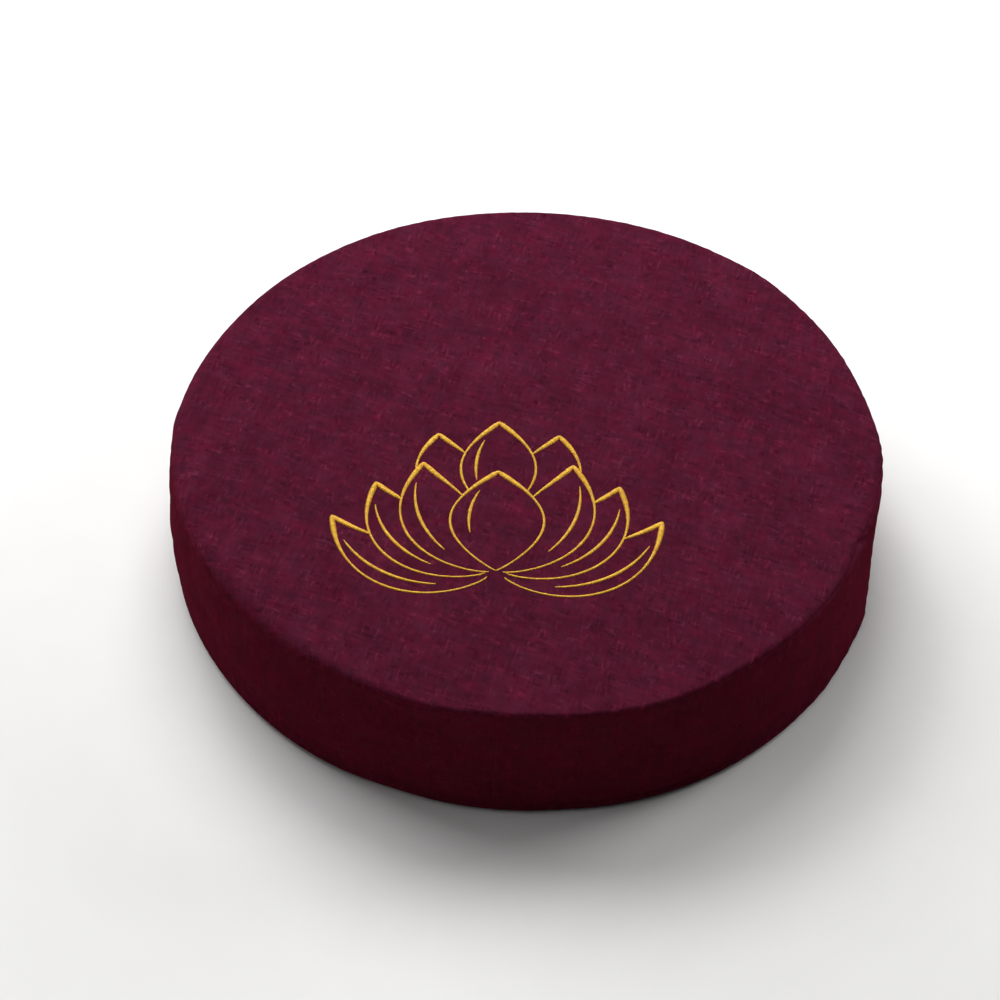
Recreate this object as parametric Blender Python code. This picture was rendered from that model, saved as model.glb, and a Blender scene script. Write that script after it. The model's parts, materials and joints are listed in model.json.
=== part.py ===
"""Round meditation cushion: a low, firm disc of wine linen-look cloth.

One filled solid. A round top panel rolls over the edge of the filling and is
sewn to a side band, the band swells a little between its two seams, and the
bottom panel lies flat. Metres, +Z up. The origin is the middle of the base,
-Y is the front, where the embroidered flower's foot points, and +X the right.
"""

import math

import bmesh
import bpy

# ---- driving sizes, metres ----
RADIUS = 0.2000  # of the side, at the rims
RIM_HEIGHT = 0.0870  # floor to the top of the rim
CROWN = 0.0026  # how far the middle of the top stands above the rim
BOTTOM_ROLL = 0.0065  # radius of the rolled edge of the bottom panel
SEAM_DEPTH = 0.0014  # how far the thread draws a seam in
SEAM_HALF = 0.0016  # half the width of that groove
SEAM_TUCK = 0.0008  # the top seam lies this far under the top panel's rolled edge
SEAM_FOOT_RISE = 0.0080  # floor up to the bottom seam

# ---- fineness ----
AROUND = 96  # sections around
ROLL_STEPS = 5  # steps in each rolled edge
BAND_STEPS = 7  # steps up the band, seam to seam
CROWN_STEPS = 7  # rings from the rim to the middle of the top

# ---- unevenness of a hand-filled, hand-sewn disc, in millimetres ----
# direction: degrees from +X, counter-clockwise seen from above
# rim: how far both edges stand out, lift: how far the top rim is raised,
# swell: how far the band stands out at mid-height, roll: radius of the top edge
SECTIONS = [
    # direction, rim, lift, swell, roll
    (0, 0.5, -1.6, 0.3, 4.0),
    (30, -1.3, 1.4, 1.7, 4.5),
    (60, 0.8, -0.2, 2.1, 5.0),
    (90, -0.2, -0.3, 2.0, 5.0),
    (120, -0.2, 0.3, 2.1, 5.5),
    (150, -0.1, -0.2, 2.4, 7.0),
    (180, 1.6, -0.2, 2.3, 9.0),
    (210, -0.6, 0.4, 1.4, 9.0),
    (240, -0.7, 0.9, 1.8, 7.0),
    (270, -1.0, -0.8, 2.0, 3.6),
    (300, 0.8, -0.3, 1.7, 3.4),
    (330, 0.7, 0.8, 0.1, 3.6),
]

CLOTH_COLOUR = (0.098, 0.0105, 0.0315, 1.0)
CLOTH_ROUGHNESS = 0.9


def at_direction(angle, column):
    """A column of SECTIONS at an angle in radians, in metres, smoothly joined."""
    count = len(SECTIONS)
    place = (math.degrees(angle) % 360.0) / (360.0 / count)
    index = int(place)
    t = place - index
    a, b, c, d = (SECTIONS[(index + k) % count][column] for k in (-1, 0, 1, 2))
    value = b + 0.5 * t * (c - a + t * (2 * a - 5 * b + 4 * c - d + t * (3 * (b - c) + d - a)))
    return value / 1000.0


def groove(distance):
    """Depth of a sewn seam's groove at a height above or below its thread."""
    return SEAM_DEPTH * math.exp(-((abs(distance) / SEAM_HALF) ** 1.3))


def section(angle):
    """The side and top of one section, from the edge of the base to the last ring, as (radius, height)."""
    rim = RADIUS + at_direction(angle, 1)
    top = RIM_HEIGHT + at_direction(angle, 2)
    swell = at_direction(angle, 3)
    roll = at_direction(angle, 4)
    low, high = SEAM_FOOT_RISE, top - roll - SEAM_TUCK
    points = []
    # rolled edge of the bottom panel, from the floor up to just under its seam
    for k in range(ROLL_STEPS + 1):
        turn = math.pi / 2 * k / ROLL_STEPS
        points.append(
            (
                rim - BOTTOM_ROLL + BOTTOM_ROLL * math.sin(turn),
                BOTTOM_ROLL - BOTTOM_ROLL * math.cos(turn),
            )
        )
    # bottom seam, band and top seam
    heights = [low, low + SEAM_HALF]
    heights += [
        low + SEAM_HALF + (high - low - 2 * SEAM_HALF) * k / BAND_STEPS
        for k in range(1, BAND_STEPS)
    ]
    heights += [high - SEAM_HALF, high]
    for z in heights:
        s = (z - low) / (high - low)
        out = swell * max(4 * s * (1 - s), 0.0) ** 0.8
        points.append((rim + out - groove(z - low) - groove(z - high), z))
    # rolled edge of the top panel
    for k in range(ROLL_STEPS + 1):
        turn = math.pi / 2 * k / ROLL_STEPS
        points.append(
            (
                rim - roll + roll * math.cos(turn),
                top - roll + roll * math.sin(turn),
            )
        )
    # crowned top, rim to the ring nearest the middle
    edge = rim - roll
    lift = top - RIM_HEIGHT
    for k in range(1, CROWN_STEPS + 1):
        share = 1 - k / (CROWN_STEPS + 1)
        rise = CROWN * (1 - share**2.4)
        points.append((edge * share, RIM_HEIGHT + rise + lift * share**3))
    return points


def make_cushion():
    mesh = bpy.data.meshes.new("cushion")
    shape = bmesh.new()
    rings = []
    for i in range(AROUND):
        angle = 2 * math.pi * i / AROUND
        rings.append(
            [
                shape.verts.new((r * math.cos(angle), r * math.sin(angle), z))
                for r, z in section(angle)
            ]
        )
    middle = shape.verts.new((0.0, 0.0, RIM_HEIGHT + CROWN))
    steps = len(rings[0])
    for i in range(AROUND):
        here, there = rings[i], rings[(i + 1) % AROUND]
        for k in range(steps - 1):
            shape.faces.new((here[k], there[k], there[k + 1], here[k + 1]))
        shape.faces.new((here[-1], there[-1], middle))
    # the flat base is one face, so the disc rests on it without rocking
    shape.faces.new([rings[i][0] for i in reversed(range(AROUND))])
    bmesh.ops.recalc_face_normals(shape, faces=shape.faces)
    shape.to_mesh(mesh)
    shape.free()
    mesh.shade_smooth()
    mesh.set_sharp_from_angle(angle=math.radians(50))
    return mesh


def make_cloth():
    material = bpy.data.materials.new("wine_linen")
    material.use_nodes = True
    shader = material.node_tree.nodes["Principled BSDF"]
    shader.inputs["Base Color"].default_value = CLOTH_COLOUR
    shader.inputs["Roughness"].default_value = CLOTH_ROUGHNESS
    shader.inputs["Metallic"].default_value = 0.0
    return material


def main():
    for old in list(bpy.data.objects):
        bpy.data.objects.remove(old, do_unlink=True)
    cushion = bpy.data.objects.new("cushion", make_cushion())
    cushion.data.materials.append(make_cloth())
    bpy.context.scene.collection.objects.link(cushion)


main()
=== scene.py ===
"""Looks of the round meditation cushion.

The cover is one closed mesh: a round top panel that rolls over the rim, a side
band between two turned-in seams, and a round bottom panel. Its linen-look weave
is made of nodes that follow each panel's own grain. The lotus on the top is
satin stitch, thread by thread. Metres, +Z up, origin in the middle of the base.
"""

import json
import math

import bpy
import numpy as np
from mathutils import Matrix, Vector
from mathutils.bvhtree import BVHTree

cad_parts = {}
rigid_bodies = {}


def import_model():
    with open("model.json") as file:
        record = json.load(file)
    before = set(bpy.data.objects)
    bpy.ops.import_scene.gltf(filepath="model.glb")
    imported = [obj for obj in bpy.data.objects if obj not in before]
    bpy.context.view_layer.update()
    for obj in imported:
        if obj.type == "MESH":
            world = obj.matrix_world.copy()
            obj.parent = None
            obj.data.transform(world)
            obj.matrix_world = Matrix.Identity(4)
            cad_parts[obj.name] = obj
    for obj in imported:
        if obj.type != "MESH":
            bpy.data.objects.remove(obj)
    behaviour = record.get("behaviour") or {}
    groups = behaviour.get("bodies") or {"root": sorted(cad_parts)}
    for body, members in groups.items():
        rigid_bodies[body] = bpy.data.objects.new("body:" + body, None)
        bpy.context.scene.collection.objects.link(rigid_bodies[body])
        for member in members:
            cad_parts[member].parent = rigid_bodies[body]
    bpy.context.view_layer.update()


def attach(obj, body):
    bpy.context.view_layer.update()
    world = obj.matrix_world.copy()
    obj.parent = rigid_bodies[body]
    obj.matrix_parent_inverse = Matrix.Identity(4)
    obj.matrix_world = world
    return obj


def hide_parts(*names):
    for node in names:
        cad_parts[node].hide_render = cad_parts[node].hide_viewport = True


for old in list(bpy.data.objects):
    bpy.data.objects.remove(old, do_unlink=True)
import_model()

MM = 0.001

# ---------------------------------------------------------------- sizes, metres
RADIUS = 0.2000  # of the side, at the rims
RIM_HEIGHT = 0.0870  # floor to the top of the rim
CROWN = 0.0026  # the middle of the top above the rim
BOTTOM_ROLL = 0.0065
SEAM_HALF = 0.0009  # half the width of a seam's groove
SEAM_FOOT_RISE = 0.0080

# direction in degrees from +X, the rest in millimetres
SECTIONS = [
    # direction, rim, lift, swell
    (0, 0.5, -1.6, 0.3),
    (30, -1.3, 1.4, 1.7),
    (60, 0.8, -0.2, 2.1),
    (90, -0.2, -0.3, 2.0),
    (120, -0.2, 0.3, 2.1),
    (150, -0.1, -0.2, 2.4),
    (180, 1.6, -0.2, 2.3),
    (210, -0.6, 0.4, 1.4),
    (240, -0.7, 0.9, 1.8),
    (270, -1.0, -0.8, 2.0),
    (300, 0.8, -0.3, 1.7),
    (330, 0.7, 0.8, 0.1),
]
# radius of the rolled top edge every 15 degrees: crisp at the front, soft on the left
ROLLS = [6.5, 5.5, 4.5, 4.8, 5.0, 5.0, 5.0, 5.2, 5.5, 6.0, 7.0, 8.0, 9.0, 9.0, 9.0, 8.2, 5.2, 2.7, 2.3, 2.2, 2.4, 3.8, 5.4, 6.6]
# how hard the thread pulls and where: depth of the top and foot seams, the share of puckers, and how far
# the top seam lies below the middle of the rolled edge
SEAMS = [
    # direction, top, foot, gather, drop
    (0, 0.4, 1.0, 0.8, 1.0),
    (30, 0.9, 1.0, 1.0, 3.5),
    (60, 1.0, 1.0, 1.0, 4.5),
    (90, 1.0, 1.0, 0.9, 4.7),
    (120, 1.0, 1.0, 0.9, 5.0),
    (150, 0.7, 0.8, 0.6, 6.2),
    (180, 0.4, 0.6, 0.4, 7.5),
    (210, 0.3, 0.5, 0.3, 7.9),
    (240, 0.35, 0.5, 0.35, 5.5),
    (270, 0.35, 0.6, 0.55, 2.6),
    (300, 0.6, 0.9, 0.9, 2.2),
    (330, 0.6, 1.1, 1.1, 1.3),
]
COLUMN = {"rim": 1, "lift": 2, "swell": 3}

AROUND = 960  # points round the rims; fewer towards the middle

# the cloth simulation: every third point round, ten times as large, and no point moves much
PAD_STEP, PAD_SCALE, PAD_FRAMES = 3, 10.0, 20
MOST_MOVED = 0.0008

# creases, dents and (with a minus) bulges that the filling leaves in the side and at the rims
DENTS = [
    # direction, height mm, depth mm, half width mm, half height mm
    (353.0, 42.0, 0.9, 11.0, 16.0),
    (2.0, 85.0, -1.8, 26.0, 12.0),
    (344.0, 6.0, -1.5, 17.0, 10.0),
    (341.0, 76.0, -0.7, 5.0, 6.0),
    (341.0, 88.0, 1.8, 24.0, 14.0),
    (316.0, 88.0, -1.0, 22.0, 9.0),
    (327.5, 36.0, -1.0, 11.0, 34.0),
    (341.0, 42.0, 0.8, 10.0, 42.0),
    (256.0, 88.0, -3.1, 46.0, 15.0),
    (288.0, 88.0, -3.3, 50.0, 15.0),
    (222.0, 88.0, -0.8, 20.0, 9.0),
    (47.0, 87.0, -1.2, 22.0, 22.0),
    (176.0, 84.0, -1.0, 11.0, 10.0),
    (183.5, 60.0, 0.8, 8.0, 9.0),
    (250.0, 3.0, 1.0, 22.0, 12.0),
    (277.0, 3.0, 0.6, 14.0, 12.0),
    (221.0, 70.0, 0.4, 9.0, 10.0),
    (128.0, 52.0, 0.8, 5.0, 20.0),
    (64.0, 38.0, 0.7, 6.0, 18.0),
]
# folds in the side: the line (direction, height mm), depth mm, half width mm
FOLDS = [
    ([(334.2, 84.8), (337.0, 85.6), (338.8, 86.0), (341.0, 83.0), (345.0, 77.5), (350.0, 70.0)], 1.35, 1.5),
    ([(345.0, 66.0), (348.5, 54.0), (351.2, 38.0), (352.0, 20.0)], 1.5, 2.4),
    ([(318.5, 79.0), (322.5, 72.0)], 0.5, 1.3),
    ([(74.0, 80.0), (71.0, 62.0), (71.5, 45.0)], 0.7, 2.6),
    ([(139.0, 26.0), (136.5, 44.0), (137.0, 60.0)], 0.6, 3.0),
]


def joined(angles, values):
    """Values given at even directions, at angles in radians, smoothly joined."""
    values = np.asarray(values, float)
    count = len(values)
    place = (np.degrees(angles) % 360.0) / (360.0 / count)
    index = np.floor(place).astype(int)
    t = place - index
    a, b, c, d = (values[(index + k) % count] for k in (-1, 0, 1, 2))
    return b + 0.5 * t * (c - a + t * (2 * a - 5 * b + 4 * c - d + t * (3 * (b - c) + d - a)))


def column(angles, name):
    """A column of SECTIONS in metres."""
    return joined(angles, [row[COLUMN[name]] for row in SECTIONS]) * MM


def groove(distance, depth):
    return depth * np.exp(-((np.abs(distance) / SEAM_HALF) ** 1.25))


# ---------------------------------------------------------------- rings of the cover
def ring_list():
    """The rings from the middle of the base to the middle of the top: kind, place, panel."""
    rings = []
    for share in (0.04, 0.1, 0.2, 0.32, 0.46, 0.6, 0.74, 0.86, 0.94):
        rings.append(("base", share))
    for k in range(7):
        rings.append(("foot", k / 6))
    for d in (0.5, 0.9, 1.2, 1.5):
        rings.append(("under", d))
    near = (0.25, 0.55, 0.95, 1.5, 2.2, 3.1, 4.2, 5.5)
    for d in near:
        rings.append(("low", d))
    steps = 19
    for k in range(1, steps):
        rings.append(("band", k / steps))
    for d in reversed(near):
        rings.append(("high", d))
    rings.append(("seam", 0.0))
    for d in (0.3, 0.8):
        rings.append(("tuck", d))
    for k in range(1, 10):
        rings.append(("roll", k / 9))
    for d in (0.8, 1.8, 3.0, 4.4, 6.0, 8.0, 10.5, 13.5, 17.0, 21.0, 26.0, 32.0):
        rings.append(("rim", d))
    for share in (0.76, 0.68, 0.6, 0.52, 0.44, 0.36, 0.28, 0.2, 0.13, 0.07, 0.03):
        rings.append(("top", share))
    return rings


def ring_points(kind, place, angles):
    """Radius and height of one ring at each direction."""
    rim = RADIUS + column(angles, "rim")
    top = RIM_HEIGHT + column(angles, "lift")
    swell = column(angles, "swell")
    roll = joined(angles, ROLLS) * MM
    if kind == "base":
        return (rim - BOTTOM_ROLL) * place, np.zeros_like(angles)
    if kind == "foot":
        turn = math.pi / 2 * place
        return rim - BOTTOM_ROLL * (1 - math.sin(turn)), BOTTOM_ROLL * (1 - math.cos(turn)) + 0 * rim
    if kind == "under":
        return rim, BOTTOM_ROLL + place * MM + 0 * rim
    # from here up by the length along the section above the foot seam: band, rolled edge, top
    upright = top - roll - SEAM_FOOT_RISE
    bent = upright + roll * math.pi / 2
    seam = upright + roll * math.pi / 4 - joined(angles, [row[4] for row in SEAMS]) * MM
    last = np.maximum(bent, seam + 3 * MM)
    edge = rim - roll
    if kind == "low":
        up = place * MM + 0 * rim
    elif kind == "band":
        up = 5.5 * MM + (seam - 11 * MM) * place
    elif kind == "high":
        up = seam - place * MM
    elif kind in ("seam", "tuck"):
        up = seam + place * MM
    elif kind == "roll":
        up = seam + 0.8 * MM + (last - seam - 0.8 * MM) * place
    elif kind == "rim":
        up = last + place * MM
    else:
        up = bent + edge * (1 - place)
    s = np.clip(up / upright, 0, 1)
    turn = np.clip((up - upright) / roll, 0, math.pi / 2)
    share = (edge - np.maximum(up - bent, 0)) / edge
    r = np.where(up > bent, edge * share, rim + swell * (4 * s * (1 - s)) ** 0.8 - roll * (1 - np.cos(turn)))
    rise = CROWN * (1 - share**2.4) - (top - RIM_HEIGHT) * (1 - share**3)
    z = np.where(up < upright, SEAM_FOOT_RISE + up, top - roll * (1 - np.sin(turn)) + rise)
    return r, z


PANEL = {"base": 2, "foot": 2, "under": 2, "low": 1, "band": 1, "high": 1, "seam": 0, "tuck": 0, "roll": 0, "rim": 0, "top": 0}


def waves(rng, count, low, high):
    """Random plane waves for a soft unevenness: direction, number and phase."""
    k = rng.uniform(low, high, count)
    t = rng.uniform(0, 2 * math.pi, count)
    return k * np.cos(t), k * np.sin(t), rng.uniform(0, 2 * math.pi, count)


def soft_noise(x, y, parts):
    kx, ky, phase = parts
    total = np.zeros_like(x)
    for a, b, p in zip(kx, ky, phase, strict=True):
        total += np.cos(a * x + b * y + p)
    return total / math.sqrt(len(kx) / 2)


def puckers(rng, angles, lowest, highest, count):
    """Ring waves of a gathered seam: rows of (wave over the directions, reach in metres)."""
    rows = []
    for number in rng.integers(lowest, highest, count):
        phase = rng.uniform(0, 2 * math.pi)
        length = 2 * math.pi * RADIUS / number
        strength = 0.4 + 0.9 * rng.random()
        rows.append((strength * np.cos(number * angles + phase), 0.55 * length))
    return rows


def settle(kinds, panel, angles, r, z, along, foot_seam, top_seam):
    """How far the cloth's own wrinkles move each point outward, in metres.

    Blender's Cloth runs on a coarse copy of the cover, ten times as large. It is a little too long for the
    filling, is sewn fast along both seams, is held softly by the filling behind it, and is blown against them.
    """
    length = along.mean(axis=1)
    rows = [0]
    for i in range(1, len(kinds)):
        if i in (foot_seam, top_seam) and length[i] - length[rows[-1]] < 0.003:
            rows[-1] = i
        elif i in (foot_seam, top_seam) or length[i] - length[rows[-1]] >= 0.0038:
            rows.append(i)
    count = AROUND // PAD_STEP
    a = angles[::PAD_STEP]
    rough = np.random.default_rng(17).normal(0, 0.00003, (len(rows), count))
    start = [np.stack([(r[i][::PAD_STEP] + w) * np.cos(a), (r[i][::PAD_STEP] + w) * np.sin(a), z[i][::PAD_STEP] + w], 1) for i, w in zip(rows, rough, strict=True)]
    start = np.concatenate([*start, [[0, 0, 0], [0, 0, z[-1].mean()]]]) * PAD_SCALE
    low, high = len(start) - 2, len(start) - 1
    faces = []
    for i in range(len(rows) - 1):
        for j in range(count):
            k = (j + 1) % count
            faces.append((i * count + j, i * count + k, (i + 1) * count + k, (i + 1) * count + j))
    for j in range(count):
        k = (j + 1) % count
        faces.append((k, j, low))
        faces.append((high - 1 - count + j, high - 1 - count + k, high))
    mesh = bpy.data.meshes.new("pad")
    mesh.from_pydata(start.tolist(), [], faces)
    mesh.update()
    pad = bpy.data.objects.new("pad", mesh)
    bpy.context.scene.collection.objects.link(pad)
    held = pad.vertex_groups.new(name="held")
    for n, i in enumerate(rows):
        fast = kinds[i] in ("base", "foot", "under") or i in (foot_seam, top_seam)
        held.add(list(range(n * count, (n + 1) * count)), 1.0 if fast else 0.3 if panel[i] == 0 else 0.2, "REPLACE")
    held.add([low, high], 1.0, "REPLACE")
    cloth = pad.modifiers.new("Cloth", "CLOTH")
    cloth.settings.quality = 5
    cloth.settings.mass = 0.3
    cloth.settings.use_pressure = True
    cloth.settings.uniform_pressure_force = 0.6
    cloth.settings.effector_weights.gravity = 0.0
    cloth.settings.vertex_group_mass = "held"
    cloth.settings.tension_stiffness = cloth.settings.compression_stiffness = 15.0
    cloth.settings.shear_stiffness = 5.0
    cloth.settings.bending_stiffness = 0.05
    cloth.settings.shrink_min = -0.010
    cloth.collision_settings.use_collision = False
    cloth.collision_settings.use_self_collision = False
    cloth.point_cache.frame_start, cloth.point_cache.frame_end = 1, PAD_FRAMES
    for frame_number in range(1, PAD_FRAMES + 1):
        bpy.context.scene.frame_set(frame_number)
    result = pad.evaluated_get(bpy.context.evaluated_depsgraph_get()).to_mesh()
    after = np.empty(3 * len(start), np.float32)
    result.vertices.foreach_get("co", after)
    moved = ((after.reshape(-1, 3) - start) / PAD_SCALE)[:-2].reshape(len(rows), count, 3)
    bpy.data.objects.remove(pad, do_unlink=True)
    bpy.data.meshes.remove(mesh)
    bpy.context.scene.frame_set(1)
    # outward part, without the slow swelling: the outline stays as it was fitted
    dr, dz = np.gradient(r, axis=0)[rows][:, ::PAD_STEP], np.gradient(z, axis=0)[rows][:, ::PAD_STEP]
    out = ((moved[..., 0] * np.cos(a) + moved[..., 1] * np.sin(a)) * dz - moved[..., 2] * dr) / (np.hypot(dr, dz) + 1e-12)
    waves_round = np.fft.rfft(out, axis=1)
    waves_round[:, :8] = 0
    fine = np.zeros((len(rows), AROUND // 2 + 1), complex)
    fine[:, : count // 2] = waves_round[:, : count // 2] * PAD_STEP
    out = MOST_MOVED * np.tanh(np.fft.irfft(fine, AROUND, axis=1) / MOST_MOVED)
    # from the copy's rings to all rings, smoothly
    at = length[rows]
    slope = np.gradient(out, at, axis=0)
    k = np.clip(np.searchsorted(at, length) - 1, 0, len(rows) - 2)
    gap = at[k + 1] - at[k]
    t = np.clip((length - at[k]) / gap, 0, 1)[:, None]
    gap = gap[:, None]
    return (
        (2 * t**3 - 3 * t**2 + 1) * out[k]
        + (t**3 - 2 * t**2 + t) * gap * slope[k]
        + (3 * t**2 - 2 * t**3) * out[k + 1]
        + (t**3 - t**2) * gap * slope[k + 1]
    )


def build_cover():
    rings = ring_list()
    angles = np.arange(AROUND) * 2 * math.pi / AROUND
    r = np.stack([ring_points(kind, place, angles)[0] for kind, place in rings])
    z = np.stack([ring_points(kind, place, angles)[1] for kind, place in rings])
    kinds = [kind for kind, _ in rings]
    panel = np.array([PANEL[kind] for kind in kinds])
    # surface lengths along each section, from the middle of the base
    step = np.hypot(np.diff(r, axis=0), np.diff(z, axis=0))
    along = np.vstack([r[0][None], r[0][None] + np.cumsum(step, axis=0)])
    whole = along[-1] + r[-1]
    foot_seam = kinds.index("low")
    top_seam = kinds.index("seam")
    from_low = along - 0.5 * (along[foot_seam] + along[foot_seam - 1])
    from_top = along - along[top_seam]
    # outward normals of the sections
    dr, dz = np.gradient(r, axis=0), np.gradient(z, axis=0)
    size = np.hypot(dr, dz) + 1e-12
    nr, nz = dz / size, -dr / size
    a = np.broadcast_to(angles, r.shape)
    x, y = r * np.cos(a), r * np.sin(a)

    rng = np.random.default_rng(41)
    push = np.zeros_like(r)
    wrinkles = settle(kinds, panel, angles, r, z, along, foot_seam, top_seam)
    push += wrinkles * np.where(panel == 0, 0.3, np.where(panel == 1, 0.7, 0.0))[:, None]
    # the filling's soft unevenness
    slow = soft_noise(x, y, waves(rng, 14, 2 * math.pi / 0.16, 2 * math.pi / 0.07))
    push += np.where(panel[:, None] == 0, 0.26 * MM * slow * np.clip(from_top / 0.02, 0, 1), 0)
    band_noise = np.zeros_like(r)
    for number in rng.integers(5, 34, 12):
        tilt = rng.uniform(-25, 25)
        band_noise += np.cos(number * a + tilt * z / 0.08 + rng.uniform(0, 6.28))
    band_noise /= math.sqrt(6)
    height = np.clip((z - SEAM_FOOT_RISE) / (RIM_HEIGHT - SEAM_FOOT_RISE), 0, 1)
    push += np.where(panel[:, None] == 1, 0.22 * MM * band_noise * (4 * height * (1 - height)) ** 0.5, 0)
    # the two seams, and their puckers
    kept = (panel[:, None] > 0) & ~kinds_flat(kinds)[:, None]
    push -= np.where(panel[:, None] < 2, groove(from_top, joined(angles, [row[1] for row in SEAMS]) * MM), 0)
    push -= np.where(kept, groove(from_low, joined(angles, [row[2] for row in SEAMS]) * MM), 0)
    gather = joined(angles, [row[3] for row in SEAMS])
    for wave, reach in puckers(rng, angles, 55, 190, 26):
        fade = np.exp(-np.abs(from_top) / reach)
        side = np.where(from_top > 0, 0.8, 1.0)
        push += 0.045 * MM * gather * wave * fade * side * (panel[:, None] < 2)
    for wave, reach in puckers(rng, angles, 50, 170, 26):
        fade = np.exp(-np.abs(from_low) / reach) * np.where(z < 0.0062, np.clip(z / 0.0062, 0, 1), 1)
        push += 0.045 * MM * gather * wave * fade * (panel[:, None] > 0)
    # the pressed seam allowance that shows under the cloth on the right of the front
    degrees = np.degrees(angles)
    sector = np.exp(-(((degrees - 316) / 15) ** 4))
    below = -from_top
    ridge = 0.22 * MM / (1 + np.exp((below - 6.4 * MM) / (0.5 * MM))) * np.clip(below / (1.2 * MM), 0, 1)
    ridge -= 0.08 * MM * np.exp(-(((below - 7.6 * MM) / (0.9 * MM)) ** 2))
    push += np.where(panel[:, None] == 1, ridge * sector, 0)
    # creases, dents and bulges, straight in or out
    inward = np.zeros_like(r)
    for direction, at, depth, wide, tall in DENTS:
        off = (degrees - direction + 180) % 360 - 180
        across = np.radians(off) * RADIUS / (wide * MM)
        up = (z - at * MM) / (tall * MM)
        inward += depth * MM * np.exp(-(across**2)) * np.exp(-(up**2)) * np.clip((r - 0.12) / 0.07, 0, 1)
    for line, depth, wide in FOLDS:
        nearest = np.full(r.shape, 1.0)
        depths = np.zeros(r.shape)
        whole_line = len(line) - 1
        for k in range(whole_line):
            (d0, z0), (d1, z1) = line[k], line[k + 1]
            x0 = np.radians((degrees - d0 + 180) % 360 - 180) * RADIUS + 0 * z
            run, climb = math.radians(d1 - d0) * RADIUS, (z1 - z0) * MM
            t = np.clip((x0 * run + (z - z0 * MM) * climb) / (run**2 + climb**2), 0, 1)
            far = np.hypot(x0 - t * run, z - z0 * MM - t * climb)
            along_line = (k + t) / whole_line
            depths = np.where(far < nearest, np.clip(4 * along_line * (1 - along_line) + 0.15, 0, 1), depths)
            nearest = np.minimum(nearest, far)
        inward += depth * MM * depths * np.exp(-((nearest / (wide * MM)) ** 2)) * (r > 0.15)
    # the strip's ends meet in one upright seam at the front
    off = np.radians((degrees - 266.3 + 180) % 360 - 180) * RADIUS
    join = -0.35 * MM * np.exp(-((off / (1.1 * MM)) ** 2)) + 0.16 * MM * np.exp(-(((off - 2.6 * MM) / (1.6 * MM)) ** 2))
    push += np.where(panel[:, None] == 1, join * (4 * height * (1 - height)) ** 0.3, 0)

    push = np.where(kinds_flat(kinds)[:, None], 0, push)
    r, z = r + push * nr - inward, z + push * nz
    z = np.maximum(z, 0.0)
    return rings, kinds, panel, angles, r, z, along, whole, foot_seam, top_seam


def kinds_flat(kinds):
    return np.array([kind == "base" for kind in kinds])


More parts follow.
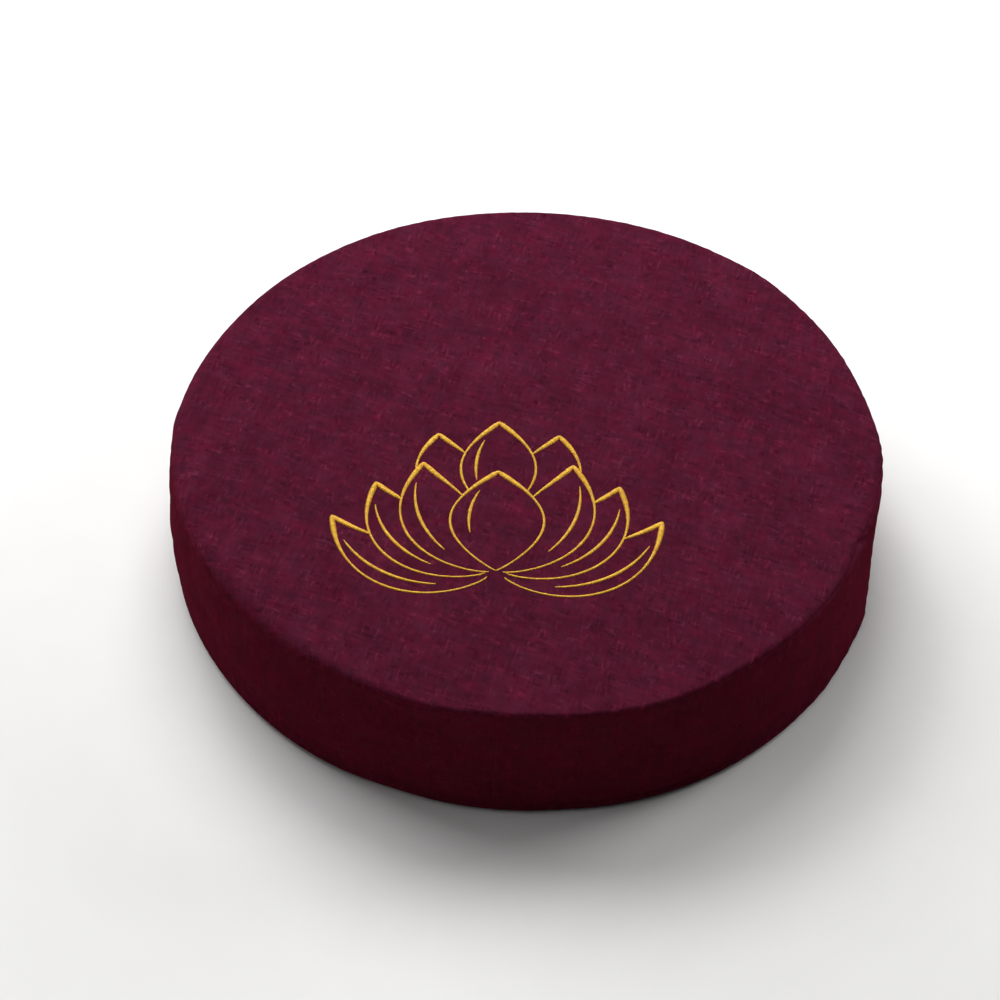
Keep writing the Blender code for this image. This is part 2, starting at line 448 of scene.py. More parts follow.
def make_cover():
    rings, kinds, panel, angles, r, z, along, whole, foot_seam, top_seam = build_cover()
    # how many points each ring keeps: fewer towards the two middles
    keep = []
    for i in range(len(rings)):
        mean = r[i].mean()
        thin = 1
        if kinds[i] in ("base", "top", "rim"):
            while AROUND // thin > 30 and 2 * math.pi * mean / (AROUND // thin) < 1.02 * MM:
                thin *= 2
        keep.append(thin)
    coordinates, first = [], []
    total = 0
    for i in range(len(rings)):
        pick = slice(None, None, keep[i])
        a = angles[pick]
        coordinates.append(np.stack([r[i][pick] * np.cos(a), r[i][pick] * np.sin(a), z[i][pick]], 1))
        first.append(total)
        total += len(a)
    low_middle, top_middle = total, total + 1
    coordinates.append(np.array([[0, 0, 0], [0, 0, z[-1].mean() + 0.00001]]))
    coordinates = np.concatenate(coordinates)

    # which way the cloth was laid when each round was cut: its warp, and its weft, which is pulled a little askew
    grain_top, grain_foot = (math.radians(-14.0), math.radians(-20.0)), (math.radians(11.0), math.radians(13.0))

    def flat_round(distance, angle, grain):
        px, py = distance * math.cos(angle), distance * math.sin(angle)
        return (px * math.cos(grain[0]) + py * math.sin(grain[0]), -px * math.sin(grain[1]) + py * math.cos(grain[1]))

    # cloth coordinates, panel by panel, and the layout used when the look is baked
    def cloth(i, j, side):
        """(u, v) in metres on the flat cloth of panel `side`, for point j of ring i; j may run one past the end."""
        k = j * keep[i]
        angle = 2 * math.pi * k / AROUND
        kk = k % AROUND
        if side == 1:
            return angle * RADIUS, along[i][kk] - along[foot_seam][kk]
        if side == 0:
            return flat_round(whole[kk] - along[i][kk], angle, grain_top)
        return flat_round(along[i][kk], angle, grain_foot)

    def sheet(i, j, side):
        k = j * keep[i]
        angle = 2 * math.pi * k / AROUND
        kk = k % AROUND
        if side == 0:
            d = (whole[kk] - along[i][kk]) / 0.212 * 0.355
            return 0.36 + d * math.cos(angle), 0.637 + d * math.sin(angle)
        if side == 2:
            d = along[i][kk] / 0.206 * 0.125
            return 0.865 + d * math.cos(angle), 0.135 + d * math.sin(angle)
        return angle, along[i][kk] - along[foot_seam][kk]

    faces, sides, weave, layout = [], [], [], []

    def add(points, side):
        faces.append([first[i] + j % (AROUND // keep[i]) for i, j in points])
        sides.append(side)
        weave.extend(cloth(i, j, side) for i, j in points)
        if side == 1:
            quarter = min(int(min(p[1] * keep[p[0]] for p in points) / (AROUND / 4)), 3)
            for i, j in points:
                angle, up = sheet(i, j, 1)
                run = (angle / (math.pi / 2) - quarter) * 0.545
                rise = up / 0.082 * 0.125
                if quarter < 2:
                    layout.append((0.735 + quarter * 0.132 + rise, 0.44 + run))
                else:
                    layout.append((0.01 + run, 0.005 + (quarter - 2) * 0.132 + rise))
        else:
            layout.extend(sheet(i, j, side) for i, j in points)

    # between rings the panel is that of the upper ring, except that the band ends at the top seam
    for i in range(len(rings) - 1):
        side = 2 if panel[i] == 2 and panel[i + 1] == 2 else 1 if (panel[i] == 1 or panel[i + 1] == 1) else 0
        if panel[i] == 2 and panel[i + 1] == 1:
            side = 1
        a, b = AROUND // keep[i], AROUND // keep[i + 1]
        if a == b:
            for j in range(a):
                add([(i, j), (i, j + 1), (i + 1, j + 1), (i + 1, j)], side)
        elif a > b:
            for j in range(b):
                add([(i, 2 * j), (i, 2 * j + 1), (i + 1, j)], side)
                add([(i, 2 * j + 1), (i + 1, j + 1), (i + 1, j)], side)
                add([(i, 2 * j + 1), (i, 2 * j + 2), (i + 1, j + 1)], side)
        else:
            for j in range(a):
                add([(i, j), (i + 1, 2 * j + 1), (i + 1, 2 * j)], side)
                add([(i, j), (i, j + 1), (i + 1, 2 * j + 1)], side)
                add([(i, j + 1), (i + 1, 2 * j + 2), (i + 1, 2 * j + 1)], side)
    # the two middles
    last = len(rings) - 1
    for j in range(AROUND // keep[0]):
        n = AROUND // keep[0]
        faces.append([first[0] + (j + 1) % n, first[0] + j, low_middle])
        sides.append(2)
        weave.extend([cloth(0, j + 1, 2), cloth(0, j, 2), (0.0, 0.0)])
        layout.extend([sheet(0, j + 1, 2), sheet(0, j, 2), (0.865, 0.135)])
    for j in range(AROUND // keep[last]):
        n = AROUND // keep[last]
        faces.append([first[last] + j, first[last] + (j + 1) % n, top_middle])
        sides.append(0)
        weave.extend([cloth(last, j, 0), cloth(last, j + 1, 0), (0.0, 0.0)])
        layout.extend([sheet(last, j, 0), sheet(last, j + 1, 0), (0.36, 0.637)])

    mesh = bpy.data.meshes.new("cover")
    mesh.from_pydata(coordinates.tolist(), [], faces)
    mesh.update()
    mesh.polygons.foreach_set("material_index", np.array(sides, np.int32))
    mesh.shade_smooth()
    layer = mesh.uv_layers.new(name="weave")
    layer.data.foreach_set("uv", np.array(weave, np.float32).ravel())
    layer = mesh.uv_layers.new(name="OFBake")
    layer.data.foreach_set("uv", np.array(layout, np.float32).ravel())
    mesh.uv_layers.active = mesh.uv_layers["weave"]
    mesh.uv_layers["weave"].active_render = True
    cover = bpy.data.objects.new("cover", mesh)
    bpy.context.scene.collection.objects.link(cover)
    return cover


# ---------------------------------------------------------------- materials
class Tree:
    """Short hands for a material's nodes."""

    def __init__(self, name):
        self.material = bpy.data.materials.new(name)
        self.material.use_nodes = True
        self.tree = self.material.node_tree
        self.shader = self.tree.nodes["Principled BSDF"]

    def node(self, kind, **values):
        n = self.tree.nodes.new(kind)
        for key, value in values.items():
            setattr(n, key, value)
        return n

    def put(self, socket, value):
        if isinstance(value, bpy.types.NodeSocket):
            self.tree.links.new(value, socket)
        elif value is not None:
            socket.default_value = value

    def math(self, operation, a, b=None, c=None, clamp=False):
        n = self.node("ShaderNodeMath", operation=operation, use_clamp=clamp)
        for socket, value in zip(n.inputs, (a, b, c)):
            self.put(socket, value)
        return n.outputs[0]

    def vector(self, x, y, z=0.0):
        n = self.node("ShaderNodeCombineXYZ")
        for socket, value in zip(n.inputs, (x, y, z)):
            self.put(socket, value)
        return n.outputs[0]

    def noise(self, where, scale=1.0, detail=0.0, rough=0.5):
        n = self.node("ShaderNodeTexNoise", noise_dimensions="3D")
        self.put(n.inputs["Vector"], where)
        self.put(n.inputs["Scale"], scale)
        self.put(n.inputs["Detail"], detail)
        self.put(n.inputs["Roughness"], rough)
        return n.outputs[0]

    def span(self, value, a, b, low=0.0, high=1.0, smooth=False):
        n = self.node("ShaderNodeMapRange", interpolation_type="SMOOTHSTEP" if smooth else "LINEAR")
        for name, v in (("Value", value), ("From Min", a), ("From Max", b), ("To Min", low), ("To Max", high)):
            self.put(n.inputs[name], v)
        return n.outputs[0]

    def ramp(self, value, stops):
        n = self.node("ShaderNodeValToRGB")
        self.put(n.inputs[0], value)
        band = n.color_ramp
        while len(band.elements) < len(stops):
            band.elements.new(0.5)
        for element, (place, colour) in zip(band.elements, stops):
            element.position = place
            element.color = (*colour, 1.0)
        return n.outputs[0]

    def mix(self, factor, a, b, kind="MIX"):
        n = self.node("ShaderNodeMix", data_type="RGBA", blend_type=kind)
        self.put(n.inputs[0], factor)
        self.put(n.inputs[6], a)
        self.put(n.inputs[7], b)
        return n.outputs[2]


YARN = 0.90  # millimetres from one yarn to the next


def linen(name, seed, strength, warp_share, weft_share, upright):
    """Heathered plain weave: thick-and-thin yarns both ways, each with its own shade along its length.

    The shares weigh the streaks of each way of the cloth; upright turns the cloth a quarter.
    """
    # green and blue shares as they show on what faces up, painted sheen included; the painted sheen tint further down
    # lowers them on the upright sides
    green, blue = 0.119, 0.318  # shares of red in the dye
    t = Tree(name)
    place = t.node("ShaderNodeUVMap", uv_map="weave")
    parts = t.node("ShaderNodeSeparateXYZ")
    t.put(parts.inputs[0], place.outputs[0])
    u = t.math("MULTIPLY", parts.outputs[1 if upright else 0], 1000.0)
    v = t.math("MULTIPLY", parts.outputs[0 if upright else 1], 1000.0)
    # no yarn lies quite straight
    drift_u = t.noise(t.vector(t.math("MULTIPLY", u, 0.035), t.math("MULTIPLY", v, 0.022), seed + 3.1), detail=1.0)
    drift_v = t.noise(t.vector(t.math("MULTIPLY", u, 0.022), t.math("MULTIPLY", v, 0.035), seed + 7.7), detail=1.0)
    wu = t.math("ADD", t.math("MULTIPLY", u, 1 / YARN), t.math("MULTIPLY", drift_u, 2.2))
    wv = t.math("ADD", t.math("MULTIPLY", v, 1 / YARN), t.math("MULTIPLY", drift_v, 2.2))
    i, j = t.math("FLOOR", wu), t.math("FLOOR", wv)
    fu, fv = t.math("SUBTRACT", wu, i), t.math("SUBTRACT", wv, j)

    def streak(index, run, length, shift, detail=1.5):
        """The shade of one yarn along its run, in millimetres."""
        return t.noise(
            t.vector(t.math("MULTIPLY", index, 3.77), t.math("MULTIPLY", run, 1.0 / length), t.math("ADD", t.math("MULTIPLY", index, 1.93), shift)),
            detail=detail,
            rough=0.55,
        )

    def lots(across, run, wide, length, shift, detail=1.0):
        """Neighbouring yarns of one lot share a shade."""
        return t.noise(t.vector(t.math("MULTIPLY", across, 1.0 / wide), t.math("MULTIPLY", run, 1.0 / length), shift), detail=detail, rough=0.5)

    warp = streak(i, v, 3.6, seed)
    weft = streak(j, u, 4.2, seed + 40.0)
    patch = t.noise(t.vector(t.math("MULTIPLY", u, 1 / 9.0), t.math("MULTIPLY", v, 1 / 8.0), seed + 90.0))
    cloud = t.noise(t.vector(t.math("MULTIPLY", u, 1 / 32.0), t.math("MULTIPLY", v, 1 / 32.0), seed + 130.0), detail=1.0)

    def weighed(parts_of_shade):
        total = None
        for value, weight in parts_of_shade:
            part = t.math("MULTIPLY", t.math("SUBTRACT", value, 0.5), weight * strength)
            total = part if total is None else t.math("ADD", total, part)
        return t.math("ADD", total, 0.5, clamp=True)

    crowd = t.noise(t.vector(t.math("MULTIPLY", u, 1 / 13.0), t.math("MULTIPLY", v, 1 / 11.0), seed + 250.0), detail=1.0)
    crowd = t.span(crowd, 0.38, 0.62, 0.35, 1.6)

    def slub(across, run, wide, length, shift):
        """Here and there a yarn runs thick and catches the light, or thin and sinks; some places have many."""
        spot = lots(across, run, wide, length, shift, 0.0)
        bright = t.span(spot, 0.65, 0.70, 0.0, 1.0, smooth=True)
        dark = t.span(spot, 0.30, 0.35, -1.0, 0.0, smooth=True)
        return t.math("ADD", t.math("MULTIPLY", t.math("ADD", bright, dark), crowd), 0.5)

    shared = [(patch, 0.06), (cloud, 0.27)]
    p, q = warp_share, weft_share
    warp_lot, weft_lot = lots(u, v, 5.4, 21.0, seed + 23.0), lots(v, u, 6.2, 27.0, seed + 71.0)
    warp_shade = weighed([(warp, 0.03), (slub(u, v, 1.6, 5.5, seed + 301.0), 0.185), (lots(u, v, 2.7, 9.5, seed + 11.0, 0.0), 0.25), (warp_lot, 0.48 * p), (lots(u, v, 9.5, 38.0, seed + 29.0, 0.0), 0.27 * p), *shared])
    weft_shade = weighed([(weft, 0.03), (slub(v, u, 1.9, 7.0, seed + 347.0), 0.165), (lots(v, u, 3.0, 11.0, seed + 57.0, 0.0), 0.26), (weft_lot, 0.61 * q), *shared])
    # (place, red, and how far towards a pale greyish pink)
    stops = []
    for spot, red, pale in ((0.10, 0.037, 0.0), (0.34, 0.0625, 0.0), (0.50, 0.0860, 0.0), (0.66, 0.1140, 0.0), (0.80, 0.150, 0.03), (0.95, 0.200, 0.08)):
        stops.append((spot, (red, red * (green + (0.45 - green) * pale), red * (blue + (0.6 - blue) * pale))))
    warp_colour = t.ramp(warp_shade, stops)
    weft_colour = t.ramp(weft_shade, stops)
    # which yarn lies on top: a plain weave's over and under
    odd = t.math("MODULO", t.math("ABSOLUTE", t.math("ADD", i, j)), 2.0)
    sign = t.math("SUBTRACT", t.math("MULTIPLY", odd, 2.0), 1.0)
    round_u = t.math("SINE", t.math("MULTIPLY", fu, math.pi))
    round_v = t.math("SINE", t.math("MULTIPLY", fv, math.pi))
    over = t.math("MULTIPLY", sign, 0.38)
    warp_high = t.math("ADD", t.math("MULTIPLY", round_u, t.math("ADD", 0.62, t.math("MULTIPLY", over, round_v))), 0.0)
    weft_high = t.math("ADD", t.math("MULTIPLY", round_v, t.math("SUBTRACT", 0.62, t.math("MULTIPLY", over, round_u))), 0.0)
    front = t.span(t.math("SUBTRACT", warp_high, weft_high), -0.10, 0.10, smooth=True)
    height = t.math("MAXIMUM", warp_high, weft_high)
    # fibres of the lower yarn still show beside the upper one
    colour = t.mix(t.span(front, 0.0, 1.0, 0.22, 0.78), weft_colour, warp_colour)
    # painted shade: the colour is darkened in the low places between the yarns and lifted a little on the yarn crowns
    shadow = t.span(height, 0.15, 0.85, 0.89, 1.03)
    grey = t.node("ShaderNodeCombineColor")
    for socket in grey.inputs[:3]:
        t.put(socket, shadow)
    colour = t.mix(1.0, colour, grey.outputs[0], "MULTIPLY")
    # the dye leans now to crimson, now to plum, and the brighter lots of yarn are the more crimson ones
    hue = t.noise(t.vector(t.math("MULTIPLY", u, 1 / 12.0), t.math("MULTIPLY", v, 1 / 12.0), seed + 210.0), detail=2.0, rough=0.75)
    hue = t.math("ADD", t.math("MULTIPLY", hue, 0.75), t.math("MULTIPLY", t.math("SUBTRACT", 1.25, t.math("ADD", warp_lot, weft_lot)), 0.5))
    colour = t.mix(1.0, colour, t.ramp(hue, [(0.30, (1.0, 0.76, 0.87)), (0.70, (1.0, 1.26, 1.13))]), "MULTIPLY")
    # painted sheen: what faces up keeps a paler, greyer colour, as sheen from the lights above would give it; the
    # upright sides are tinted a deeper red
    facing = t.node("ShaderNodeSeparateXYZ")
    t.put(facing.inputs[0], t.node("ShaderNodeNewGeometry").outputs["Normal"])
    painted_sheen_up = t.span(facing.outputs[2], 0.10, 0.90, smooth=True)
    colour = t.mix(1.0, colour, t.mix(painted_sheen_up, (1.0, 0.66, 0.60, 1.0), (1.0, 1.0, 1.0, 1.0)), "MULTIPLY")
    t.put(t.shader.inputs["Base Color"], colour)
    t.put(t.shader.inputs["Roughness"], t.span(height, 0.2, 0.9, 0.96, 0.80))
    t.put(t.shader.inputs["Diffuse Roughness"], t.span(height, 0.2, 0.9, 0.9, 0.5))
    t.shader.inputs["Specular IOR Level"].default_value = 0.0
    t.shader.inputs["Sheen Weight"].default_value = 0.006
    t.shader.inputs["Sheen Roughness"].default_value = 0.6
    t.shader.inputs["Sheen Tint"].default_value = (0.62, 0.22, 0.36, 1.0)
    # thick and thin places stand out a little
    fibre = t.noise(t.vector(t.math("MULTIPLY", u, 4.5), t.math("MULTIPLY", v, 4.5), seed), detail=2.0)
    thick = t.mix(front, weft_shade, warp_shade)
    relief = t.math("ADD", height, t.math("MULTIPLY", thick, 0.9))
    relief = t.math("ADD", relief, t.math("MULTIPLY", fibre, 0.25))
    bump = t.node("ShaderNodeBump")
    t.put(bump.inputs["Strength"], 0.5)
    t.put(bump.inputs["Distance"], 0.00012)
    t.put(bump.inputs["Height"], relief)
    t.put(t.shader.inputs["Normal"], bump.outputs[0])
    return t.material


def gold_thread(name, colour, seed):
    """Bright rayon thread: a fine twist along each stitch, and a dye that is a little uneven."""
    t = Tree(name)
    place = t.node("ShaderNodeUVMap", uv_map="thread")
    parts = t.node("ShaderNodeSeparateXYZ")
    t.put(parts.inputs[0], place.outputs[0])
    twist = t.math("SINE", t.math("ADD", t.math("MULTIPLY", parts.outputs[0], 9000.0), t.math("MULTIPLY", parts.outputs[1], 6.283)))
    bump = t.node("ShaderNodeBump")
    t.put(bump.inputs["Strength"], 0.30)
    t.put(bump.inputs["Distance"], 0.00004)
    t.put(bump.inputs["Height"], twist)
    t.put(t.shader.inputs["Normal"], bump.outputs[0])
    spot = t.node("ShaderNodeTexCoord")
    uneven = t.noise(spot.outputs["Object"], scale=420.0 + seed, detail=1.0)
    deep = tuple(c * k for c, k in zip(colour, (0.90, 0.80, 0.70)))
    t.put(t.shader.inputs["Base Color"], t.ramp(uneven, [(0.30, deep), (0.62, colour)]))
    t.put(t.shader.inputs["Roughness"], t.span(uneven, 0.3, 0.7, 0.42, 0.32))
    t.shader.inputs["Specular IOR Level"].default_value = 0.5
    return t.material


# ---------------------------------------------------------------- the lotus, in millimetres about its foot
FLOWER_AT = (-15.0, -104.0)  # the foot's middle on the top panel
FLOWER_TURN = math.radians(0.5)

PETALS = [
    # name, foot x, foot y, tip x, tip y, half width, bow, fullest at, mirrored; the nearest first
    ("middle", 0.0, 3.0, 0.0, 78.0, 26.0, 0.0, 0.50, False),
    ("inner", 4.0, 2.0, 42.0, 84.0, 20.5, 0.10, 0.50, True),
    ("side", 6.0, 1.0, 68.0, 68.0, 19.0, 0.14, 0.50, True),
    ("low", 5.0, -2.0, 91.5, 42.0, 15.5, 0.17, 0.48, True),
    ("crown", 0.0, 44.0, 0.0, 117.0, 21.0, 0.0, 0.50, False),
    ("shoulder", 9.0, 44.0, 34.0, 107.0, 18.0, 0.09, 0.50, True),
]


def petal_edges(foot, tip, half, bow, full, count=140):
    """Both edges of a petal from foot to tip, fullest at a share of its length and drawn out to a point."""
    foot, tip = np.array(foot), np.array(tip)
    t = np.linspace(0, 1, count)
    axis = tip - foot
    length = np.linalg.norm(axis)
    unit = axis / length
    side = np.array([unit[1], -unit[0]])
    middle = foot + np.outer(t, axis) + np.outer(4 * t * (1 - t) * bow * length, side)
    along = np.gradient(middle, axis=0)
    along /= np.linalg.norm(along, axis=1)[:, None]
    across = np.stack([-along[:, 1], along[:, 0]], 1)
    s = t ** (math.log(0.3086) / math.log(full))
    belly = s**0.5 * (1 - s) ** 1.12
    belly /= belly.max()
    return middle + across * (half * belly)[:, None], middle - across * (half * belly)[:, None]


def inside(points, polygon):
    x, y = points[:, 0], points[:, 1]
    found = np.zeros(len(points), bool)
    a = polygon
    b = np.roll(polygon, -1, 0)
    for (x0, y0), (x1, y1) in zip(a, b, strict=True):
        crosses = (y0 > y) != (y1 > y)
        if y0 != y1:
            found ^= crosses & (x < (x1 - x0) * (y - y0) / (y1 - y0) + x0)
    return found


def flower_strokes():
    """(points, widths, group) of every embroidered stroke: what shows of each petal's two edges, and the inner lines."""
    petals = []
    for name, fx, fy, tx, ty, half, bow, full, mirrored in PETALS:
        for flip in (1, -1) if mirrored else (1,):
            inner, outer = petal_edges((fx * flip, fy), (tx * flip, ty), half, bow * flip, full)
            if flip < 0:
                inner, outer = outer, inner
            petals.append((name, inner, outer))
    strokes = []

    def keep(points, widths, nearer, group):
        hidden = np.zeros(len(points), bool)
        for polygon in nearer:
            hidden |= inside(points, polygon)
        runs = np.flatnonzero(np.diff(np.concatenate([[True], hidden, [True]]).astype(int)))
        for a, b in zip(runs[::2], runs[1::2], strict=True):
            piece = points[a:b]
            if b - a > 4 and np.linalg.norm(np.diff(piece, axis=0), axis=1).sum() > 6.0:
                strokes.append((piece, widths[a:b], group))

    nearer = []
    for name, inner, outer in petals:
        group = "front" if name in ("middle", "inner", "side") else "back"
        t = np.linspace(0, 1, len(inner))
        swell = 1.05 + 2.3 * np.exp(-(((t - 0.96) / 0.17) ** 2)) + 0.5 * np.exp(-(((t - 0.45) / 0.2) ** 2))
        for points in (inner, outer):
            keep(points, swell, nearer, group)
        # a lighter line inside the petal, beside one edge
        a, b, near, far, share = {
            "middle": (52, 112, inner, outer, 0.17),
            "crown": (52, 112, inner, outer, 0.17),
            "inner": (40, 118, outer, inner, 0.23),
            "side": (40, 118, outer, inner, 0.23),
            "low": (34, 116, outer, inner, 0.24),
            "shoulder": (0, 0, outer, inner, 0.0),
        }[name]
        if b > a:
            line = near + (far - near) * (share + 0.03 * np.sin(math.pi * t))[:, None]
            width = 0.85 + 1.2 * np.sin(np.linspace(0, math.pi, b - a)) ** 1.2
            keep(line[a:b], width, nearer, group)
        nearer.append(np.concatenate([inner, outer[::-1]]))
    return strokes


def resample(points, widths, step):
    gaps = np.linalg.norm(np.diff(points, axis=0), axis=1)
    along = np.concatenate([[0], np.cumsum(gaps)])
    count = max(int(along[-1] / step), 3)
    s = np.linspace(0, along[-1], count)
    x, y = np.interp(s, along, points[:, 0]), np.interp(s, along, points[:, 1])
    w = np.interp(s, along, widths)
    # ends taper to a point
    w *= np.clip(np.minimum(s, along[-1] - s) / 3.5, 0, 1) ** 0.5 * 0.72 + 0.28
    p = np.stack([x, y], 1)
    d = np.gradient(p, axis=0)
    d /= np.linalg.norm(d, axis=1)[:, None] + 1e-12
    return p, d, w


THREAD = 0.21  # radius of the embroidery thread, millimetres
PITCH = 0.40  # from one stitch to the next


def make_embroidery(cover):
    """Satin stitches across each stroke, over a low padding of the same thread."""
    mesh = cover.data
    tree = BVHTree.FromPolygons([v.co for v in mesh.vertices], [p.vertices for p in mesh.polygons if p.material_index == 0])
    turn = np.array([[math.cos(FLOWER_TURN), -math.sin(FLOWER_TURN)], [math.sin(FLOWER_TURN), math.cos(FLOWER_TURN)]])

    def ground(p):
        hit = tree.ray_cast(Vector((p[0] * MM, p[1] * MM, 0.2)), Vector((0, 0, -1)))
        return hit[0].z / MM

    rng = np.random.default_rng(7)
    made = {}
    for points, widths, group in flower_strokes():
        p, d, w = resample(points @ turn.T + np.array(FLOWER_AT), widths, PITCH)
        d = np.gradient(p, axis=0)
        d /= np.linalg.norm(d, axis=1)[:, None] + 1e-12
        n = np.stack([-d[:, 1], d[:, 0]], 1)
        low = np.array([ground(q) for q in p])
        made.setdefault(group, []).append((p, d, n, w, low))
    pieces = []
    for group, strokes in sorted(made.items()):
        vertices, faces, thread, tone = [], [], [], []
        total = 0
        sides, stations = 5, 5
        ring = np.arange(sides) * 2 * math.pi / sides + math.pi / 2
        for p, d, n, w, low in strokes:
            # padding under the stitches
            count = len(p)
            profile = [(-0.44, -0.12), (-0.30, 0.13), (0.0, 0.20), (0.30, 0.13), (0.44, -0.12)]
            base = total
            for k in range(count):
                for across, up in profile:
                    q = p[k] + n[k] * across * w[k]
                    vertices.append((q[0], q[1], low[k] + up * min(1.0, w[k])))
            for k in range(count - 1):
                for m in range(5):
                    a, b = base + k * 5 + m, base + k * 5 + (m + 1) % 5
                    faces.append((a, b, b + 5, a + 5))
                    thread.extend([(0.0, 0.0)] * 4)
                    tone.append(1)
            faces.append(tuple(base + m for m in reversed(range(5))))
            thread.extend([(0.0, 0.0)] * 5)
            tone.append(1)
            faces.append(tuple(base + (count - 1) * 5 + m for m in range(5)))
            thread.extend([(0.0, 0.0)] * 5)
            tone.append(1)
            total += count * 5
            # stitches
            for k in range(count):
                half = w[k] / 2 + rng.normal(0, 0.05)
                half = max(half, 0.22)
                lean = rng.normal(0.10, 0.03) * half
                lift = 0.20 + 0.16 * min(w[k], 2.6) + rng.normal(0, 0.02)
                pick = int(rng.choice([0, 1, 2], p=[0.55, 0.2, 0.25]))
                start = total
                radius = THREAD * (0.92 + 0.16 * rng.random())
                for s in range(stations):
                    f = -1 + 2 * s / (stations - 1)
                    centre = p[k] + n[k] * half * f + d[k] * lean * f
                    up = low[k] - 0.16 + (lift + 0.16) * (1 - abs(f) ** 2.6)
                    slope = -2.6 * (lift + 0.16) * np.sign(f) * abs(f) ** 1.6 / half
                    # ring in the plane across the stitch
                    t = np.array([n[k][0], n[k][1], slope])
                    t /= np.linalg.norm(t)
                    side = np.array([d[k][0], d[k][1], 0.0])
                    rise = np.cross(t, side)
                    if rise[2] < 0:
                        rise = -rise
                    shrink = 0.75 if s in (0, stations - 1) else 1.0
                    for angle in ring:
                        o = side * math.cos(angle) * radius * shrink + rise * math.sin(angle) * radius * 0.85 * shrink
                        vertices.append((centre[0] + o[0], centre[1] + o[1], up + o[2]))
                length = 2 * half * MM
                for s in range(stations - 1):
                    for m in range(sides):
                        a, b = start + s * sides + m, start + s * sides + (m + 1) % sides
                        faces.append((a, a + sides, b + sides, b))
                        u0, u1 = length * s / (stations - 1), length * (s + 1) / (stations - 1)
                        thread.extend([(u0, m / sides), (u1, m / sides), (u1, (m + 1) / sides), (u0, (m + 1) / sides)])
                        tone.append(pick)
                faces.append(tuple(start + m for m in range(sides)))
                thread.extend([(0.0, 0.0)] * sides)
                tone.append(pick)
                faces.append(tuple(start + (stations - 1) * sides + m for m in reversed(range(sides))))
                thread.extend([(length, 0.0)] * sides)
                tone.append(pick)
                total += stations * sides
        mesh = bpy.data.meshes.new("lotus_" + group)
        mesh.from_pydata((np.array(vertices) * MM).tolist(), [], faces)
        mesh.polygons.foreach_set("material_index", np.array(tone, np.int32))
        mesh.shade_smooth()
        layer = mesh.uv_layers.new(name="thread")
        layer.data.foreach_set("uv", np.array(thread, np.float32).ravel())
        piece = bpy.data.objects.new("lotus_" + group, mesh)
        bpy.context.scene.collection.objects.link(piece)
        pieces.append(piece)
    return pieces


# ---------------------------------------------------------------- stage, lights and camera
def make_floor():
    mesh = bpy.data.meshes.new("floor")
    around, rings = 96, [0.0, 0.4, 0.8, 1.2, 1.8, 2.6, 3.6, 5.0, 7.0]
    vertices, faces = [(0, 0, 0)], []
    for radius in rings[1:]:
        for k in range(around):
            a = 2 * math.pi * k / around
            vertices.append((radius * math.cos(a), radius * math.sin(a), 0.0))
    for k in range(around):
        faces.append((0, 1 + k, 1 + (k + 1) % around))
    for i in range(len(rings) - 2):
        for k in range(around):
            a, b = 1 + i * around + k, 1 + i * around + (k + 1) % around
            faces.append((a, a + around, b + around, b))
    mesh.from_pydata(vertices, [], faces)
    mesh.shade_smooth()
    t = Tree("pale_floor")
    spot = t.node("ShaderNodeTexCoord")
    speck = t.noise(spot.outputs["Object"], scale=30.0, detail=2.0)
    t.put(t.shader.inputs["Base Color"], t.mix(speck, (0.71, 0.705, 0.70, 1.0), (0.74, 0.735, 0.73, 1.0)))
    t.shader.inputs["Roughness"].default_value = 0.85
    t.shader.inputs["Specular IOR Level"].default_value = 0.2
    # far out, where the lights no longer reach, it is as pale as the wall behind it, so that it has no dark edge
    parts = t.node("ShaderNodeSeparateXYZ")
    t.put(parts.inputs[0], spot.outputs["Object"])
    far = t.math("SQRT", t.math("ADD", t.math("MULTIPLY", parts.outputs[0], parts.outputs[0]), t.math("MULTIPLY", parts.outputs[1], parts.outputs[1])))
    t.put(t.shader.inputs["Emission Strength"], t.span(far, 0.4, 2.8, 0.0, 0.86))
    t.shader.inputs["Emission Color"].default_value = (1.0, 0.995, 0.99, 1.0)
    mesh.materials.append(t.material)
    floor = bpy.data.objects.new("floor", mesh)
    bpy.context.scene.collection.objects.link(floor)


def make_light(name, place, aim, size, power, colour=(1, 1, 1)):
    data = bpy.data.lights.new(name, "AREA")
    data.shape = "DISK"
    data.size = size
    data.energy = power
    data.color = colour
    light = bpy.data.objects.new(name, data)
    light.location = place
    light.rotation_euler = (Vector(aim) - Vector(place)).to_track_quat("-Z", "Y").to_euler()
    light.visible_camera = False
    bpy.context.scene.collection.objects.link(light)


def make_world():
    """Faint light from all round, and a pale studio wall behind the floor's far edge."""
    world = bpy.data.worlds.new("studio")
    world.use_nodes = True
    nodes, links = world.node_tree.nodes, world.node_tree.links
    sky = nodes["Background"]
    sky.inputs[0].default_value = (1.0, 0.995, 0.99, 1.0)
    path = nodes.new("ShaderNodeLightPath")
    level = nodes.new("ShaderNodeMapRange")
    level.inputs["To Min"].default_value = 0.03
    level.inputs["To Max"].default_value = 0.90
    links.new(path.outputs["Is Camera Ray"], level.inputs["Value"])
    links.new(level.outputs[0], sky.inputs[1])
    bpy.context.scene.world = world


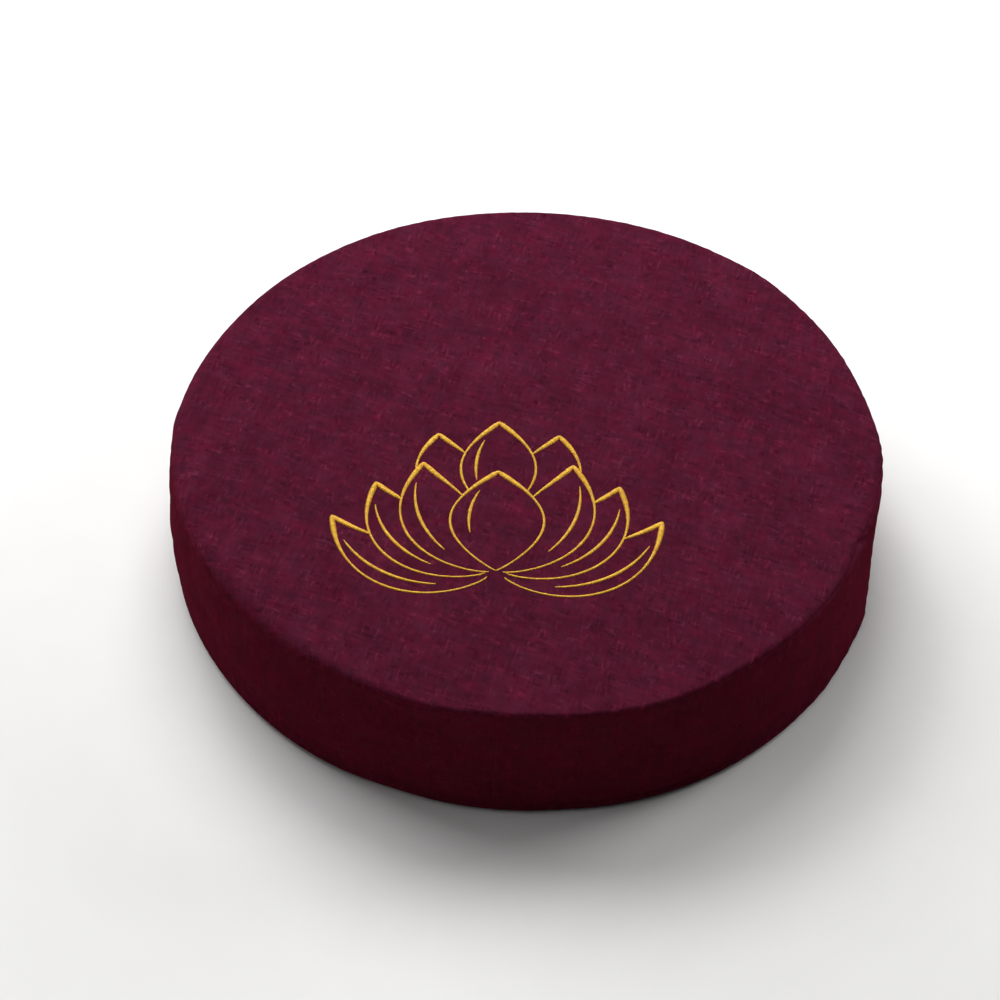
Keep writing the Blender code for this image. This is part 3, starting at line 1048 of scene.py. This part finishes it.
def make_camera():
    """Stands 2 m from the middle of the cushion and looks down on it at 46 degrees, turned a little."""
    rise, distance, roll = math.radians(46.082), 10 * RADIUS, math.radians(-1.725)
    focal, yaw, pitch = 3482.5, 0.00733, -0.00129
    place = Vector((0, -distance * math.cos(rise), distance * math.sin(rise)))
    ahead = -place.normalized()
    right = Vector((1, 0, 0))
    up = right.cross(ahead)
    ahead, right = Matrix.Rotation(yaw, 3, up) @ ahead, Matrix.Rotation(yaw, 3, up) @ right
    ahead, up = Matrix.Rotation(pitch, 3, right) @ ahead, Matrix.Rotation(pitch, 3, right) @ up
    right, up = Matrix.Rotation(roll, 3, ahead) @ right, Matrix.Rotation(roll, 3, ahead) @ up
    data = bpy.data.cameras.new("camera")
    data.sensor_width = 36.0
    data.sensor_fit = "HORIZONTAL"
    data.lens = focal / 1000 * 36.0
    data.clip_start, data.clip_end = 0.05, 60.0
    camera = bpy.data.objects.new("camera", data)
    axes = Matrix((right, up, -ahead)).transposed().to_4x4()
    axes.translation = place + Vector((0, 0, 0.5 * 0.08695))
    camera.matrix_world = axes
    bpy.context.scene.collection.objects.link(camera)
    bpy.context.scene.camera = camera


make_camera()
make_floor()
make_light("key", (-1.35, 1.4, 1.5), (0, 0, 0.05), 2.1, 58.5)
make_light("overhead", (-0.1, 0.75, 1.25), (0, 0, 0.05), 0.9, 13.0)
make_light("top", (0.0, 0.2, 2.6), (0, 0, 0.05), 1.8, 12.0)
make_light("front", (-0.3, -1.2, 2.4), (0, 0, 0.05), 1.4, 4.5)
make_light("right", (1.75, 0.9, 0.9), (0, 0, 0.05), 1.0, 25.0)
make_light("left", (-1.85, -0.6, 0.9), (0, 0, 0.05), 1.0, 3.6)
make_world()
bpy.context.scene.view_settings.view_transform = "Standard"

cover = make_cover()
for name, seed, strength, warp_share, weft_share, upright in (
    ("top_panel", 5.0, 1.0, 1.0, 1.0, False),
    ("side_band", 205.0, 0.58, 0.9, 1.2, True),
    ("bottom_panel", 405.0, 0.9, 1.0, 1.0, False),
):
    cover.data.materials.append(linen(name, seed, strength, warp_share, weft_share, upright))
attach(cover, "root")
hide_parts("cushion")

golds = [
    gold_thread("gold_thread", (0.76, 0.435, 0.022), 0.0),
    gold_thread("gold_thread_deep", (0.66, 0.355, 0.018), 31.0),
    gold_thread("gold_thread_light", (0.86, 0.54, 0.036), 67.0),
]
for piece in make_embroidery(cover):
    for gold in golds:
        piece.data.materials.append(gold)
    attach(piece, "root")
